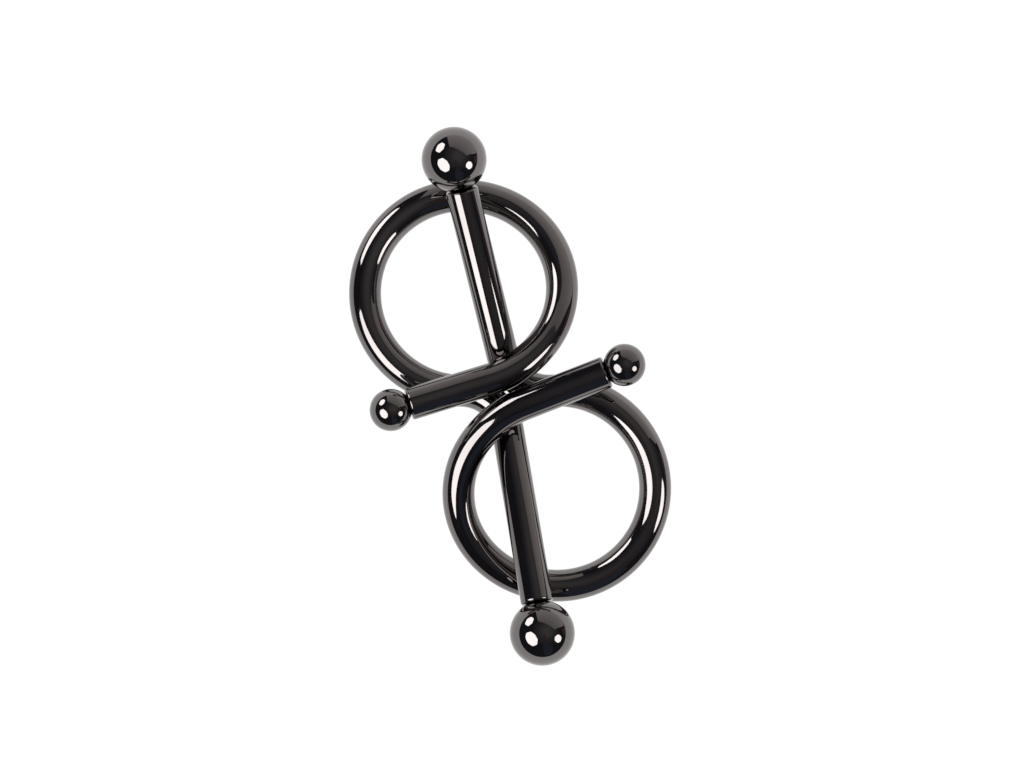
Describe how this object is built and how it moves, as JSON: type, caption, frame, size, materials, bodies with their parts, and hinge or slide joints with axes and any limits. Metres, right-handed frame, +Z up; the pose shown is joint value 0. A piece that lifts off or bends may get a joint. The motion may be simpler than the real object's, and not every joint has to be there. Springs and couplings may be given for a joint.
{
  "type": "linked pair of ball-end ring bars",
  "caption": "Identical round bars, each bent into a ring with a straight leg and tail, linked leg through ring, with a large and a small screw-on ball at the ends.",
  "frame": {"origin": "centre of the bounding box, on the plane it lies on", "axes": "+Z up from the plane it lies on, +Y along the legs towards the large ball of bar 2, +X towards the small ball of bar 2"},
  "size_m": [0.035, 0.067, 0.0154],
  "materials": {
    "bar": "mirror polished, black nickel tone",
    "ball": "mirror polished, black nickel tone",
    "stud": "bright turned steel"
  },
  "bodies": {
    "bar_1": {"bar_1": "bar"},
    "bar_2": {"bar_2": "bar"},
    "stud_large_1": {"stud_large_1": "stud"},
    "ball_large_1": {"ball_large_1": "ball"},
    "stud_small_1": {"stud_small_1": "stud"},
    "ball_small_1": {"ball_small_1": "ball"},
    "stud_large_2": {"stud_large_2": "stud"},
    "ball_large_2": {"ball_large_2": "ball"},
    "stud_small_2": {"stud_small_2": "stud"},
    "ball_small_2": {"ball_small_2": "ball"}
  },
  "joints": [
    {"name": "pair_swivel", "type": "hinge", "parent": "bar_1", "child": "bar_2", "pos_m": [-0.00078, 0.00053, 0.00345], "axis": [-0.1229, 0.3338, -0.9346], "range_deg": [-1, 20]},
    {"name": "stud_large_1_out", "type": "slide", "parent": "bar_1", "child": "stud_large_1", "axis": [-0.0294, -0.9711, 0.237], "range_m": [0, 0.0036]},
    {"name": "ball_large_1_turn", "type": "hinge", "parent": "stud_large_1", "child": "ball_large_1", "pos_m": [-0.00188, -0.02577, 0.01051], "axis": [-0.0294, -0.9711, 0.237], "range_deg": [0, 3240]},
    {"name": "stud_small_1_out", "type": "slide", "parent": "bar_1", "child": "stud_small_1", "axis": [-0.9872, -0.1001, 0.1246], "range_m": [0, 0.0036]},
    {"name": "ball_small_1_turn", "type": "hinge", "parent": "stud_small_1", "child": "ball_small_1", "pos_m": [-0.01252, 0.00117, 0.01111], "axis": [-0.9872, -0.1001, 0.1246], "range_deg": [0, 3240]},
    {"name": "stud_large_2_out", "type": "slide", "parent": "bar_2", "child": "stud_large_2", "axis": [-0.0417, 0.9706, 0.237], "range_m": [0, 0.0036]},
    {"name": "ball_large_2_turn", "type": "hinge", "parent": "stud_large_2", "child": "ball_large_2", "pos_m": [-0.00096, 0.02577, 0.01038], "axis": [-0.0417, 0.9706, 0.237], "range_deg": [0, 3240]},
    {"name": "stud_small_2_out", "type": "slide", "parent": "bar_2", "child": "stud_small_2", "axis": [0.9772, 0.1721, 0.1246], "range_m": [0, 0.0036]},
    {"name": "ball_small_2_turn", "type": "hinge", "parent": "stud_small_2", "child": "ball_small_2", "pos_m": [0.0121, 0.00031, 0.01117], "axis": [0.9772, 0.1721, 0.1246], "range_deg": [0, 3240]}
  ],
  "couplings": [
    {"joint": "stud_large_1_out", "follows": "ball_large_1_turn", "m_per_rad": 0.000063662},
    {"joint": "stud_small_1_out", "follows": "ball_small_1_turn", "m_per_rad": 0.000063662},
    {"joint": "stud_large_2_out", "follows": "ball_large_2_turn", "m_per_rad": 0.000063662},
    {"joint": "stud_small_2_out", "follows": "ball_small_2_turn", "m_per_rad": 0.000063662}
  ]
}
